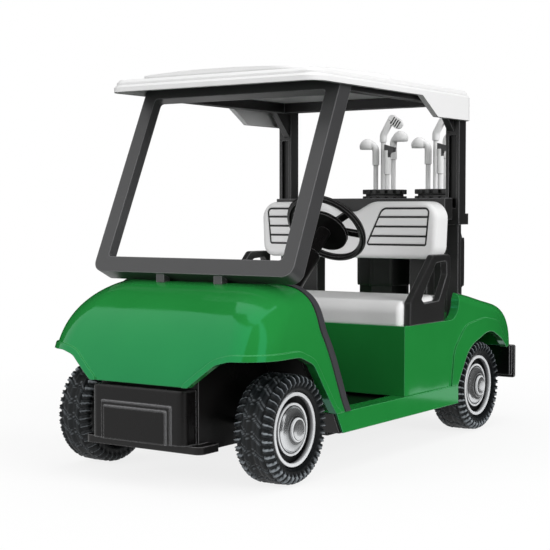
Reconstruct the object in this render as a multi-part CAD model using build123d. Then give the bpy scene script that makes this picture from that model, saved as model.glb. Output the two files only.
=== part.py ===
"""Toy golf cart with a canopy, two bags of clubs and free-rolling axles.

Frame: +X forwards, +Y to the cart's left, +Z up, millimetres. The origin is on the
floor below the middle of the cart. Front pieces are placed from the front axle, the
seat and the rear body from the rear axle.
"""
import os
from math import cos, radians, sin, tan

from build123d import *

# Driving dimensions: running gear
wheelbase = 80.0
front_overhang = 17.4
rear_overhang = 22.6
tyre_radius = 10.8
tyre_width = 7.6
rim_radius = 7.2
axle_radius = 1.0
axle_end_gap = 1.2
running_clearance = 0.05
seat_clearance = 0.03

# Driving dimensions: heights above the floor
belly_z = 6.9
sill_bottom_z = 7.9
sill_top_z = 12.2
floor_top_z = 11.6
bumper_bottom_z = 8.4
bumper_top_z = 18.9
nose_bottom_z = 19.5
front_arch_z = 24.8
seat_box_top_z = 27.5
deck_z = 33.6
hood_z = 38.3
seat_back_bottom_z = 41.5
seat_back_top_z = 54.8
crossbar_top_z = 55.6
bag_top_z = 58.1
roof_drop_z = 73.6
roof_edge_z = 77.9
roof_ceiling_z = 79.4
roof_peak_z = 83.2

# Driving dimensions: half widths and wall thicknesses
body_half_width = 26.2
nose_half_width = 12.05
tub_half_width = 12.0
panel_wall = 1.3
plate_thickness = 2.0
trim_width = 2.0
strut_width = 3.5
strut_depth = 3.4

# Widths that follow the body: how far each piece stands beyond or inside its side
fender_reach = 0.5
roof_reach = 0.4
wheel_inset = 0.15
strut_inset = 1.0
windshield_inset = 1.1
sill_width = 4.0
well_wheel_gap = 2.65
fender_half_width = body_half_width + fender_reach
roof_half_width = body_half_width + roof_reach
wheel_outer_y = body_half_width - wheel_inset
wheel_inner_y = wheel_outer_y - tyre_width
well_half_width = wheel_inner_y - well_wheel_gap
strut_outer_y = body_half_width - strut_inset
windshield_half_width = body_half_width - windshield_inset
sill_inner_y = body_half_width - sill_width

# Places along the cart
front_end_x = (front_overhang + wheelbase + rear_overhang) / 2
rear_end_x = -front_end_x
front_axle_x = front_end_x - front_overhang
rear_axle_x = front_axle_x - wheelbase
axle_z = tyre_radius
far_out = 200.0


def ahead(offset):
    """X of a place measured from the front axle."""
    return front_axle_x + offset


def behind(offset):
    """X of a place measured from the rear axle."""
    return rear_axle_x + offset


def outline(corners):
    """Flat face from corners (a, b) or (a, b, radius), each rounded by its radius."""
    points = [corner[:2] for corner in corners]
    radii = [corner[2] if len(corner) > 2 else 0.0 for corner in corners]
    return make_face(FilletPolyline(*points, radius=radii, close=True))


def slab_x(corners, x_low, x_high):
    """Outline of (y, z) corners carried along X."""
    return extrude(Plane.YZ.offset(x_low) * outline(corners), x_high - x_low)


def slab_y(corners, y_low, y_high):
    """Outline of (x, z) corners carried along Y."""
    return extrude(Plane.XZ.offset(-y_high) * outline(corners), y_high - y_low)


def slab_z(corners, z_low, z_high):
    """Outline of (x, y) corners carried along Z."""
    return extrude(Plane.XY.offset(z_low) * outline(corners), z_high - z_low)


def block(x_low, x_high, y_low, y_high, z_low, z_high):
    """Box between six limits."""
    size = (x_high - x_low, y_high - y_low, z_high - z_low)
    return Pos(x_low, y_low, z_low) * Box(*size, align=(Align.MIN, Align.MIN, Align.MIN))


def rod_y(x, z, radius, y_low, y_high):
    """Round bar along Y."""
    return Plane.XZ.offset(-y_high) * Pos(x, z) * extrude(Circle(radius), y_high - y_low)


def rod_z(x, y, radius, z_low, z_high):
    """Round bar along Z."""
    return Pos(x, y, z_low) * extrude(Circle(radius), z_high - z_low)


def both_sides(shape):
    """A shape on the left together with its mirror image on the right."""
    return shape + mirror(shape, about=Plane.XZ)


def save(node, shape):
    """Write one piece as parts/NODE.step."""
    export_step(shape, f"parts/{node}.step")


def save_pair(name, shape):
    """Write a left piece and its mirror image on the right."""
    save(f"{name}_left", shape)
    save(f"{name}_right", mirror(shape, about=Plane.XZ))


os.makedirs("parts", exist_ok=True)

# Wheels: a tyre with lugged shoulders on a plated rim, pressed on a steel axle
flange_width = 0.7
flange_depth = 0.35
groove_depth = 0.9
groove_inner_radius = 5.1
dome_foot_radius = 4.7
dome_top_radius = 2.9
dome_height = 0.6
cap_radius = 2.4
cap_height = 1.0
rim_face_inset = 0.35
lug_count = 44
lug_height = 0.55
lug_share = 0.58
lug_drop = 0.8
band_groove = 0.15
band_half_width = 2.1
wheel_middle_y = wheel_outer_y - tyre_width / 2
rim_face_y = wheel_outer_y - rim_face_inset
rim_back_y = wheel_inner_y + rim_face_inset
rim_bore_radius = axle_radius + seat_clearance
axle_end_y = rim_face_y - axle_end_gap


def lug_face(y, drop):
    """Toothed polygon round the tyre at a distance y, its tips and gaps lowered by a drop."""
    pitch = 360 / lug_count
    gap_radius = tyre_radius - lug_height
    points = []
    for lug in range(lug_count):
        start = 90 + lug * pitch
        end = start + pitch * lug_share
        for radius, angle in ((gap_radius, start), (tyre_radius, start), (tyre_radius, end),
                              (gap_radius, end)):
            turn = radians(angle)
            points.append(((radius - drop) * cos(turn), (radius - drop) * sin(turn)))
    across = Plane(origin=(0, y, 0), x_dir=(1, 0, 0), z_dir=(0, 1, 0))
    return across * make_face(Polyline(*points, close=True))


def tyre(axle_x):
    """Tyre: a tread band between two tapered rings of lugs, bored for the rim's seat."""
    side = tyre_width / 2
    ring = both_sides(loft([lug_face(band_half_width, 0), lug_face(side, lug_drop)], ruled=True))
    band = RegularPolygon(tyre_radius - band_groove, lug_count)
    ring += extrude(Plane.XZ.offset(-band_half_width) * band, 2 * band_half_width)
    bore = RegularPolygon(rim_radius + seat_clearance, lug_count, major_radius=False)
    ring -= extrude(Plane.XZ.offset(-side) * bore, tyre_width)
    return Pos(axle_x, wheel_middle_y, axle_z) * ring


def rim(axle_x):
    """Rim as a turned dish on both faces: flange ring, dark groove and dome, capped outside."""
    dome_y = dome_height - flange_depth
    face = [
        (rim_radius, 0),
        (rim_radius - flange_width, 0),
        (rim_radius - flange_width, -groove_depth),
        (groove_inner_radius, -groove_depth),
        (groove_inner_radius, -flange_depth),
        (dome_foot_radius, -flange_depth),
        (dome_top_radius, dome_y),
    ]
    outside = [(radius, rim_face_y + height) for radius, height in face]
    outside += [(cap_radius, rim_face_y + dome_y), (cap_radius, rim_face_y + cap_height)]
    outside += [(0, rim_face_y + cap_height), (0, axle_end_y + seat_clearance)]
    inside = [(radius, rim_back_y - height) for radius, height in reversed(face)]
    bore = [(rim_bore_radius, axle_end_y + seat_clearance), (rim_bore_radius, rim_back_y - dome_y)]
    return Pos(axle_x, 0, axle_z) * revolve(outline(outside + bore + inside), Axis.Y)


for axle_name, axle_x in (("front", front_axle_x), ("rear", rear_axle_x)):
    save(f"{axle_name}_axle", rod_y(axle_x, axle_z, axle_radius, -axle_end_y, axle_end_y))
    save_pair(f"{axle_name}_tyre", tyre(axle_x))
    save_pair(f"{axle_name}_rim", rim(axle_x))

# Chassis: belly plate with two open tubs whose walls carry the axles
tub_top_z = 23.6
tub_wall = 2.4
front_tub_back = -16.0
front_tub_front = 12.6
rear_tub_half_width = well_half_width - panel_wall - seat_clearance
rear_tub_back = -19.0
rear_tub_front = 12.0
belly_inset = 0.2
belly_half_width = sill_inner_y - belly_inset
firewall_foot = -15.6
firewall_head = -5.4
firewall_head_z = 30.0
belly_front = -17.5
belly_back = 12.5
bag_tray_thickness = 1.4
bag_floor_z = sill_top_z + bag_tray_thickness
belly_top_z = belly_z + plate_thickness


def tub(x_low, x_high, half_width, z_high):
    """Open box standing on the belly plate."""
    outer = block(x_low, x_high, -half_width, half_width, belly_z, z_high)
    inner_half = half_width - tub_wall
    inner = block(x_low + tub_wall, x_high - tub_wall, -inner_half, inner_half, belly_top_z, z_high)
    return outer - inner


chassis = block(behind(belly_back), ahead(belly_front), -belly_half_width, belly_half_width,
                belly_z, belly_top_z)
chassis += tub(ahead(front_tub_back), ahead(front_tub_front), tub_half_width, tub_top_z)
chassis += tub(behind(rear_tub_back), behind(rear_tub_front), rear_tub_half_width, sill_top_z)
chassis += block(ahead(belly_front), ahead(front_tub_back), -tub_half_width, tub_half_width,
                 belly_z, belly_top_z)
chassis += block(behind(rear_tub_front), behind(belly_back), -rear_tub_half_width,
                 rear_tub_half_width, belly_z, belly_top_z)
footwell = slab_y(
    [
        (ahead(firewall_foot), floor_top_z),
        (ahead(firewall_head), firewall_head_z),
        (behind(0), firewall_head_z),
        (behind(0), floor_top_z),
    ],
    -far_out,
    far_out,
)
chassis -= footwell
skid_half_width = 14.4
skid_back = 9.5
skid_front = 15.2
skid_corner = 1.5
chassis += slab_z(
    [
        (ahead(skid_back), -skid_half_width),
        (ahead(skid_front), -skid_half_width, skid_corner),
        (ahead(skid_front), skid_half_width, skid_corner),
        (ahead(skid_back), skid_half_width),
    ],
    belly_z,
    bumper_bottom_z,
)
sill_front_top = -14.2
sill_front_bottom = -16.7
sill_cap = 0.9
sill_cap_inset = 0.35
chassis += both_sides(
    slab_y(
        [
            (ahead(sill_front_top), sill_top_z),
            (ahead(sill_front_bottom), sill_bottom_z),
            (ahead(sill_front_bottom + sill_cap), sill_bottom_z),
            (ahead(sill_front_top + sill_cap), sill_top_z),
        ],
        tub_half_width,
        body_half_width - sill_cap_inset,
    )
)
for axle_x in (front_axle_x, rear_axle_x):
    chassis -= rod_y(axle_x, axle_z, axle_radius + running_clearance, -far_out, far_out)
save("chassis", chassis)

# Bumpers: a deep front box with a stepped panel on its face, and a bar at the back
bumper_corner = 1.6
bumper_edge = 0.5
bumper_back = front_tub_front
bumper_inset = 0.55
bumper_half_width = nose_half_width - bumper_inset
bumper_face = 16.6
bumper_panel_half_width = 8.6
bumper_panel_top_z = 15.8
bumper_step = 0.4
bumper_step_width = 0.9
bumper_step_edge = 0.25
front_bumper = slab_z(
    [
        (ahead(bumper_back), -bumper_half_width),
        (ahead(bumper_face), -bumper_half_width, bumper_corner),
        (ahead(bumper_face), bumper_half_width, bumper_corner),
        (ahead(bumper_back), bumper_half_width),
    ],
    bumper_bottom_z,
    bumper_top_z,
)
front_bumper = fillet(front_bumper.faces().sort_by(Axis.Z)[-1].edges(), bumper_edge)
for step in (0, 1):
    inset = step * bumper_step_width
    panel = block(
        ahead(bumper_back),
        ahead(bumper_face + (step + 1) * bumper_step),
        -bumper_panel_half_width + inset,
        bumper_panel_half_width - inset,
        bumper_bottom_z,
        bumper_panel_top_z - inset,
    )
    front_bumper += fillet(panel.faces().sort_by(Axis.X)[-1].edges(), bumper_step_edge)
save("front_bumper", front_bumper)

rear_bumper_depth = 2.4
rear_bumper_inset = 0.8
rear_bumper_half_width = body_half_width - rear_bumper_inset
rear_bumper_bottom_z = 10.4
rear_bumper_top_z = 18.7
rear_bumper_front_x = rear_end_x + rear_bumper_depth
rear_bumper_plate = 1.1
rear_bumper_step = 0.7
rear_bumper = slab_z(
    [
        (rear_end_x, -rear_bumper_half_width, bumper_edge),
        (rear_end_x + rear_bumper_plate, -rear_bumper_half_width),
        (rear_end_x + rear_bumper_plate, rear_bumper_half_width),
        (rear_end_x, rear_bumper_half_width, bumper_edge),
    ],
    rear_bumper_bottom_z,
    rear_bumper_top_z,
)
rear_bumper = fillet(rear_bumper.faces().sort_by(Axis.X)[0].edges(), bumper_edge)
rear_bumper += block(rear_end_x + rear_bumper_plate, rear_bumper_front_x,
                     -rear_bumper_half_width + rear_bumper_step,
                     rear_bumper_half_width - rear_bumper_step,
                     rear_bumper_bottom_z + rear_bumper_step, rear_bumper_top_z)
rear_bumper += block(rear_bumper_front_x, behind(rear_tub_back), -tub_half_width, tub_half_width,
                     rear_bumper_bottom_z + rear_bumper_step, sill_top_z)
save("rear_bumper", rear_bumper)

# Front cowl: a thin moulded shell, lofted through plan outlines from sill to hood
cowl_back = -26.0
cowl_wall = 1.4
cowl_sections = (
    # height, front edge ahead of the axle, inset of the side from the fender, corner radius
    (sill_top_z, 15.6, 0.4, 7.0),
    (front_arch_z, 14.4, 0.0, 7.5),
    (31.5, 10.4, 0.8, 7.6),
    (35.5, 6.0, 2.7, 8.6),
    (hood_z, -1.0, 6.5, 8.6),
)
door_line = (
    # rear edge of the painted cowl: offset from the axle, height, corner radius
    (-17.3, sill_top_z, 0),
    (-7.5, 29.4, 6.0),
    (-7.0, 38.7, 5.0),
    (-1.6, 38.9, 0),
)
front_arch = (
    # wheel opening seen from the side: offset from the axle, height, corner radius
    (-14.0, sill_top_z, 0),
    (-13.4, sill_top_z, 0),
    (-4.2, 23.0, 4.5),
    (0.5, front_arch_z, 6.0),
    (30.0, front_arch_z, 0),
)
sweep_low = 0.62116041
sweep_high = 0.42320819
sweep_run = fender_half_width - nose_half_width
corner_sweep = (
    # wheel opening seen from the front: distance from the middle, height, corner radius
    (nose_half_width, nose_bottom_z, 0),
    (fender_half_width - sweep_low * sweep_run, 24.0, 4.0),
    (fender_half_width - sweep_high * sweep_run, front_arch_z, 5.0),
    (far_out, front_arch_z, 0),
)
lip_width = 1.2
lip_proud = 0.45


def cowl_form(inset):
    """Outer form of the cowl drawn in by an inset; its floor stays at the sill."""
    faces = []
    top = len(cowl_sections) - 1
    for index, (height, front, side_inset, corner) in enumerate(cowl_sections):
        front_x = ahead(front - inset)
        half = fender_half_width - side_inset - inset
        plan = outline(
            [
                (ahead(cowl_back), -half),
                (front_x, -half, corner - inset),
                (front_x, half, corner - inset),
                (ahead(cowl_back), half),
            ]
        )
        level = height - inset if index == top else height
        faces.append(Pos(0, 0, level) * plan)
    return loft(faces)


def behind_door_line(shift):
    """All the space behind the cowl's rear edge, moved back by a shift."""
    corners = [(ahead(x - shift), z, corner) for x, z, corner in door_line]
    last_x = corners[-1][0]
    corners += [(last_x, far_out), (-far_out, far_out), (-far_out, sill_top_z)]
    return slab_y(corners, -far_out, far_out)


def wheel_space(grow):
    """Both front wheel openings, widened all round where asked."""
    side = outline([(ahead(x), z, corner) for x, z, corner in front_arch]
                   + [(ahead(front_arch[-1][0]), 0), (ahead(front_arch[0][0]), 0)])
    front = outline(list(corner_sweep) + [(far_out, 0), (nose_half_width, 0)])
    if grow:
        side = offset(side, grow)
        front = offset(front, grow)
    side = extrude(Plane.XZ.offset(-far_out) * side, far_out)
    front = extrude(Plane.YZ.offset(ahead(front_arch[0][0]) - grow) * front, far_out)
    return both_sides(side & front)


nose_opening = block(ahead(front_arch[0][0]), far_out, -nose_half_width, nose_half_width,
                     0, nose_bottom_z)
cowl_solid = cowl_form(0)
cowl_hollow = cowl_form(cowl_wall)
lip = (cowl_form(-lip_proud) - cowl_hollow) & wheel_space(lip_width)
front_cowl = cowl_solid - cowl_hollow + lip
front_cowl = front_cowl - behind_door_line(0) - wheel_space(0) - nose_opening
save("front_cowl", front_cowl)

# Cowl trim: black strips along both rear edges of the cowl
trim_proud = 0.25
trim_hoop = (cowl_form(-trim_proud) - cowl_hollow) & behind_door_line(0)
trim_hoop -= behind_door_line(trim_width)
trim_reach = 9.7
trim_inner_y = fender_half_width - trim_reach
trim_side = trim_hoop & block(-far_out, far_out, trim_inner_y, far_out, sill_top_z, hood_z)
save_pair("cowl_trim", trim_side)

# Sills and floor
sill_back = 11.7
sill = slab_y(
    [
        (ahead(sill_front_top), sill_top_z),
        (ahead(sill_front_bottom), sill_bottom_z),
        (behind(sill_back), sill_bottom_z),
        (behind(sill_back), sill_top_z),
    ],
    sill_inner_y,
    body_half_width,
)
save_pair("sill", sill)

seat_box_front = 36.8
floor_front = -17.5
floor_pan = block(behind(seat_box_front), ahead(floor_front), -sill_inner_y, sill_inner_y,
                  belly_top_z, floor_top_z)
save("floor_pan", floor_pan)

# Dashboard: firewall sloping up from the floor to a rounded dash top
dash_inset = 5.7
dash_half_width = fender_half_width - dash_inset
dash_profile = (
    # offset from the front axle, height, corner radius
    (-17.5, floor_top_z, 0),
    (firewall_foot, floor_top_z, 0),
    (firewall_head, firewall_head_z, 0),
    (-3.6, 36.6, 0),
    (-4.4, 36.6, 0),
    (-9.0, 35.6, 1.5),
    (-9.6, 31.0, 1.5),
    (-7.4, 30.0, 0.5),
)
dashboard = slab_y([(ahead(x), z, corner) for x, z, corner in dash_profile],
                   -dash_half_width, dash_half_width)
save("dashboard", dashboard)

# Windshield: an open frame leaning back, standing on two pegs on the hood
windshield_lean = 25.0
windshield_foot_x = 0.6
windshield_foot_z = 40.0
windshield_depth = 4.0
stile_width = 3.1
foot_rail = 3.4
head_rail = 0.9
face_depth = 2.4
flange_wall = 1.2
windshield_corner = 2.4
peg_size = 2.0
peg_y = 7.3
peg_x = -0.9
lean = radians(windshield_lean)
frame_length = (roof_ceiling_z - windshield_foot_z) / cos(lean) + windshield_depth * tan(lean)
opening_top = (roof_edge_z - head_rail - windshield_foot_z) / cos(lean)
frame_plane = Plane(
    origin=(ahead(windshield_foot_x), 0, windshield_foot_z),
    x_dir=(0, 1, 0),
    z_dir=(cos(lean), 0, sin(lean)),
)
frame_outer = outline(
    [
        (-windshield_half_width, 0, windshield_corner),
        (windshield_half_width, 0, windshield_corner),
        (windshield_half_width, frame_length),
        (-windshield_half_width, frame_length),
    ]
)
pane_half = windshield_half_width - stile_width
pane_corner = windshield_corner / 3
frame_inner = outline(
    [
        (-pane_half, foot_rail, pane_corner),
        (pane_half, foot_rail, pane_corner),
        (pane_half, opening_top, pane_corner),
        (-pane_half, opening_top, pane_corner),
    ]
)
windshield_frame = extrude(frame_plane * (frame_outer - frame_inner), -windshield_depth)
back_half = windshield_half_width - flange_wall
back_pocket = outline(
    [
        (-back_half, flange_wall, windshield_corner - flange_wall),
        (back_half, flange_wall, windshield_corner - flange_wall),
        (back_half, frame_length - flange_wall),
        (-back_half, frame_length - flange_wall),
    ]
)
windshield_frame -= extrude(frame_plane.offset(-face_depth) * back_pocket, -far_out)
windshield_frame -= block(-far_out, far_out, -far_out, far_out, roof_ceiling_z, far_out)
pegs = both_sides(block(ahead(peg_x) - peg_size / 2, ahead(peg_x) + peg_size / 2,
                        peg_y - peg_size / 2, peg_y + peg_size / 2, hood_z - plate_thickness,
                        windshield_foot_z))
foot_space = frame_plane.offset(-windshield_depth) * Box(far_out, far_out, far_out,
                                                         align=(Align.CENTER, Align.MIN, Align.MIN))
pegs -= foot_space
windshield_frame = windshield_frame + pegs - cowl_solid
save("windshield_frame", windshield_frame)

# Rear body: seat box, side panels, deck and fenders in one hollow shell
rear_body_back = -20.2
body_sections = (
    # offset from the rear axle, reach of the side beyond the body, top, shoulder radius
    (seat_box_front, -0.5, deck_z + 0.4, 1.8),
    (31.1, -0.45, deck_z + 0.35, 1.8),
    (25.4, -0.4, deck_z + 0.3, 1.9),
    (19.7, -0.3, deck_z + 0.25, 1.9),
    (14.0, -0.2, deck_z + 0.2, 2.0),
    (8.3, 0.1, deck_z - 0.4, 2.3),
    (2.6, 0.35, deck_z - 1.4, 2.6),
    (-3.1, 0.5, deck_z - 2.6, 2.6),
    (-8.8, 0.25, deck_z - 3.6, 2.6),
    (-14.5, -0.5, deck_z - 5.2, 2.6),
    (rear_body_back, -1.7, rear_bumper_top_z + 2.0, 2.2),
)
seat_notch = (
    # room for the bench above the seat box: offset from the rear axle, height, corner radius
    (60.0, seat_box_top_z, 0),
    (11.6, seat_box_top_z, 4.0),
    (11.3, deck_z - 1.6, 1.5),
    (9.6, deck_z + 1.0, 0),
    (9.6, far_out, 0),
    (60.0, far_out, 0),
)
rear_arch = (
    # wheel opening: offset from the rear axle, height, corner radius
    (12.4, sill_top_z, 0),
    (7.2, 20.6, 9.0),
    (-3.5, 24.2, 9.0),
    (-12.0, 20.8, 9.0),
    (-15.6, rear_bumper_top_z, 0),
    (-30.0, rear_bumper_top_z, 0),
)
flare_edge = (
    # crease round the wheel opening: offset from the rear axle, height, corner radius
    (15.2, sill_top_z, 0),
    (14.0, 20.4, 6.0),
    (8.5, 26.0, 6.0),
    (-0.8, 27.2, 12.0),
    (-8.5, 26.0, 6.0),
    (-16.5, rear_bumper_top_z, 0),
)
flare_proud = 0.45
flare_depth = 3.0
rail_wall = 2.2
bag_share = 0.42
bag_gap = 0.4
bag_body_radius = bag_share * well_half_width
bag_x = rear_body_back + bag_gap + bag_body_radius
well_front = bag_x + bag_body_radius + bag_gap


def body_form(inset):
    """Rear body without its seat room, drawn in by an inset; only a hollow is open below."""
    foot_z = 0.0 if inset > 0 else sill_top_z
    last = len(body_sections) - 1
    ends = {0: -inset, last: inset}
    faces = []
    for index, (x, reach, top, corner) in enumerate(body_sections):
        half = body_half_width + reach - inset
        face = outline(
            [
                (-half, foot_z),
                (half, foot_z),
                (half, top - inset, corner - inset),
                (-half, top - inset, corner - inset),
            ]
        )
        faces.append(Plane.YZ.offset(behind(x) + ends.get(index, 0.0)) * face)
    return loft(faces)


def well_space(grow):
    """Deep bag well at the back of the deck, widened by the wall where asked."""
    return block(-far_out, behind(well_front) + grow, -well_half_width - grow,
                 well_half_width + grow, 0, far_out)


def arch_space(edge, inner_y):
    """Space inside an edge round the rear wheels, outwards from a distance on both sides."""
    corners = [(behind(x), z, corner) for x, z, corner in edge]
    corners += [(corners[-1][0], 0), (corners[0][0], 0)]
    return both_sides(slab_y(corners, inner_y, far_out))


rail_y = body_half_width - rail_wall
seat_space = slab_y([(behind(x), z, corner) for x, z, corner in seat_notch], -far_out, far_out)
deck_space = block(-far_out, far_out, -rail_y, rail_y, seat_box_top_z, far_out)
body_solid = body_form(0) - seat_space - deck_space - well_space(0)
under_deck = block(-far_out, far_out, -far_out, far_out, 0, seat_box_top_z - panel_wall)
body_hollow = (body_form(panel_wall) & under_deck) - well_space(panel_wall)
flare = body_form(-flare_proud) & arch_space(flare_edge, body_half_width - flare_depth)
rear_body = body_solid + flare - body_hollow
rear_body -= arch_space(rear_arch, well_half_width + panel_wall)
save("rear_body", rear_body)

# Bag well: a tray over the rear tub that the bags stand on
bag_tray = block(behind(rear_tub_back), behind(well_front) - seat_clearance,
                 -rear_tub_half_width, rear_tub_half_width, sill_top_z, bag_floor_z)
save("bag_tray", bag_tray)

# Seat: a bench cushion on the box and a back with two humps and a sunk line pattern
cushion_inset = 2.0
cushion_half_width = body_half_width - cushion_inset
cushion_front = 36.4
cushion_back = 17.0
cushion_top_z = 33.4
cushion_fall = 0.6
cushion_round = 2.8
cushion_end_round = 1.2
cushion = slab_y(
    [
        (behind(cushion_front), seat_box_top_z),
        (behind(cushion_front), cushion_top_z - cushion_fall, cushion_round),
        (behind(cushion_back), cushion_top_z, 1.5),
        (behind(cushion_back), seat_box_top_z),
    ],
    -cushion_half_width,
    cushion_half_width,
)
for end in (0, -1):
    end_edges = cushion.faces().sort_by(Axis.Y)[end].edges()
    cushion = fillet(end_edges.sort_by(Axis.Z)[1:], cushion_end_round)
save("seat_cushion", cushion)

seat_back_front = 19.3
seat_back_thickness = 5.6
seat_back_inset = 1.8
seat_back_half_width = body_half_width - seat_back_inset
valley_z = 52.4
seat_back_round = 1.2
groove_width = 0.45
groove_sink = 0.35
panel_rows = 4
panel_top_z = 53.4
panel_bottom_z = 44.5
seat_back_rear = seat_back_front - seat_back_thickness
hump = [
    (seat_back_half_width - 0.6, seat_back_bottom_z, 3.0),
    (seat_back_half_width, seat_back_top_z, 4.0),
    (7.0, seat_back_top_z, 6.0),
    (2.5, valley_z, 4.0),
]
back_outline = hump + [(-y, z, corner) for y, z, corner in reversed(hump)]
seat_back = slab_x(back_outline, behind(seat_back_rear), behind(seat_back_front))
seat_back = fillet(seat_back.faces().sort_by(Axis.X)[-1].edges(), seat_back_round)
panel_edge = outline(
    [
        (5.5, panel_bottom_z, 0.6),
        (seat_back_half_width - 2.8, panel_bottom_z, 0.6),
        (seat_back_half_width - 1.9, panel_top_z, 1.2),
        (9.9, panel_top_z, 2.2),
    ]
)
groove = panel_edge - offset(panel_edge, -groove_width)
row_height = (panel_top_z - panel_bottom_z) / panel_rows
for row in range(1, panel_rows):
    row_z = panel_bottom_z + row * row_height
    stripe = Pos(seat_back_half_width / 2, row_z) * Rectangle(seat_back_half_width, groove_width)
    groove += stripe & panel_edge
groove_plane = Plane.YZ.offset(behind(seat_back_front) - groove_sink)
seat_back -= both_sides(extrude(groove_plane * groove, groove_sink))
save("seat_back", seat_back)

# Roof: a shell with banded edges and a crowned panel, its rear corners dropped over the struts
roof_front = -6.2
roof_back = 5.0
roof_corner = 3.4
roof_wall = 1.3
roof_drop_front = 30.7
roof_drop_run = 7.3
roof_tail_inset = 2.4
roof_tail_half_width = roof_half_width - roof_tail_inset
roof_bands = (
    # inset of the edge, height of the band's top, chamfer of its rim
    (0.0, 79.4, 0.5),
    (0.6, 80.5, 0.6),
)
crown_inset = 5.6
crown_front_inset = 1.7
crown_corner = 6.0
crown_rise = 1.0
crown_arc_share = 0.68027211
crown_half = roof_half_width - crown_inset
crown_radius = crown_arc_share * crown_half ** 2 / crown_rise
crown_edge = 0.5
crown_line = (
    # offset from the front axle and height of the panel's ridge
    (roof_front, 81.9),
    (-20.0, 82.7),
    (-38.0, roof_peak_z),
    (-44.0, roof_peak_z - 0.2),
    (-47.0, roof_peak_z - 0.9),
)
crown_tail_z = 81.3


def roof_plate(inset, z_low, z_high):
    """Rounded rectangle of the roof's plan, drawn in by an inset."""
    x_low = behind(roof_back) + inset
    x_high = ahead(roof_front) - inset
    half = roof_half_width - inset
    corner = roof_corner - inset
    return slab_z(
        [(x_low, -half, corner), (x_high, -half, corner), (x_high, half, corner),
         (x_low, half, corner)],
        z_low,
        z_high,
    )


def crown_face(x, ridge_z):
    """Section across the roof's raised panel at x: straight sides under an arched top."""
    side_z = ridge_z - crown_rise
    return Plane.YZ.offset(x) * outline(
        [
            (-crown_half, roof_ceiling_z),
            (crown_half, roof_ceiling_z),
            (crown_half, side_z, crown_edge),
            (0, ridge_z, crown_radius),
            (-crown_half, side_z, crown_edge),
        ]
    )


roof = Part()
for inset, top_z, rim_chamfer in roof_bands:
    plate = roof_plate(inset, roof_drop_z, top_z)
    roof += chamfer(plate.faces().sort_by(Axis.Z)[-1].edges(), rim_chamfer)
crown_faces = [crown_face(ahead(x), ridge_z) for x, ridge_z in crown_line]
crown_faces.append(crown_face(behind(roof_back), crown_tail_z))
crown = loft(crown_faces, ruled=True) & slab_z(
    [
        (behind(roof_back) + crown_front_inset, -crown_half, crown_corner),
        (ahead(roof_front) - crown_front_inset, -crown_half, crown_corner),
        (ahead(roof_front) - crown_front_inset, crown_half, crown_corner),
        (behind(roof_back) + crown_front_inset, crown_half, crown_corner),
    ],
    roof_ceiling_z,
    far_out,
)
roof = roof + crown - roof_plate(roof_wall, 0, roof_ceiling_z)
roof -= slab_y(
    [
        (ahead(roof_front) + far_out, roof_edge_z),
        (behind(roof_drop_front), roof_edge_z),
        (behind(roof_drop_front - roof_drop_run), roof_drop_z),
        (behind(roof_drop_front - roof_drop_run), 0),
        (ahead(roof_front) + far_out, 0),
    ],
    -far_out,
    far_out,
)
roof -= block(-far_out, behind(roof_back) + roof_wall, -roof_tail_half_width,
              roof_tail_half_width, 0, roof_edge_z)
save("roof", roof)

# Canopy struts and the frame behind the seat back
strut_front = 9.9
strut_foot_z = 49.4
leg_inset = 0.3
leg_depth = 1.5
slot_width = 1.9
slot_depth = 0.8
slot_bottom_z = 53.3
slot_top_z = 70.2
collar_z = 52.0
collar_depth = 1.5
strut_back = strut_front - strut_depth
strut_inner_y = strut_outer_y - strut_width
strut_middle_y = strut_outer_y - strut_width / 2
strut = block(behind(strut_back), behind(strut_front), strut_inner_y, strut_outer_y,
              strut_foot_z, roof_ceiling_z)
leg_front_x = behind(strut_front) - leg_inset
strut += block(leg_front_x - leg_depth, leg_front_x, strut_inner_y + leg_inset,
               strut_outer_y - leg_inset, seat_box_top_z, strut_foot_z)
strut += block(behind(strut_back) - collar_depth, behind(strut_back), strut_inner_y + leg_inset,
               strut_outer_y, strut_foot_z, collar_z)
strut -= block(behind(strut_front) - slot_depth, behind(strut_front),
               strut_middle_y - slot_width / 2, strut_middle_y + slot_width / 2,
               slot_bottom_z, slot_top_z)
strut = strut - body_solid - roof
save_pair("rear_strut", strut)

post_inner_y = well_half_width - 2.8
post_width = 4.6
post_back = strut_front - 2.4
post_front = strut_front + 1.3
crossbar_height = 5.0
seat_back_frame = block(behind(strut_front), behind(seat_back_rear), -strut_middle_y,
                        strut_middle_y, crossbar_top_z - crossbar_height, crossbar_top_z)
seat_back_frame += both_sides(
    block(behind(post_back), behind(post_front), post_inner_y, post_inner_y + post_width,
          seat_box_top_z, crossbar_top_z)
)
seat_back_frame -= body_solid
save("seat_back_frame", seat_back_frame)

# Hip restraints: a plate with a triangular hand loop on each side panel
hip_inset = 0.3
hip_thickness = 1.6
hip_edge = 0.3
hip_outer_y = body_half_width - hip_inset
hip_profile = (
    # offset from the rear axle, height, corner radius
    (34.6, seat_box_top_z, 0),
    (34.4, 32.6, 1.0),
    (23.6, 42.7, 1.5),
    (15.3, 42.7, 1.2),
    (15.3, 37.4, 2.0),
    (18.5, 31.0, 1.5),
    (18.5, seat_box_top_z, 0),
)
hip_loop = (
    (29.6, 33.0, 0.5),
    (22.6, 40.9, 1.0),
    (17.4, 41.2, 0.8),
    (17.2, 38.0, 1.5),
    (21.0, 32.3, 1.5),
    (28.0, 32.0, 0.5),
)
hip = slab_y([(behind(x), z, corner) for x, z, corner in hip_profile],
             hip_outer_y - hip_thickness, hip_outer_y)
hip -= slab_y([(behind(x), z, corner) for x, z, corner in hip_loop], 0, far_out)
hip = fillet(hip.faces().sort_by(Axis.Y)[-1].outer_wire().edges().sort_by(Axis.Z)[1:], hip_edge)
save_pair("hip_restraint", hip)

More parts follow.
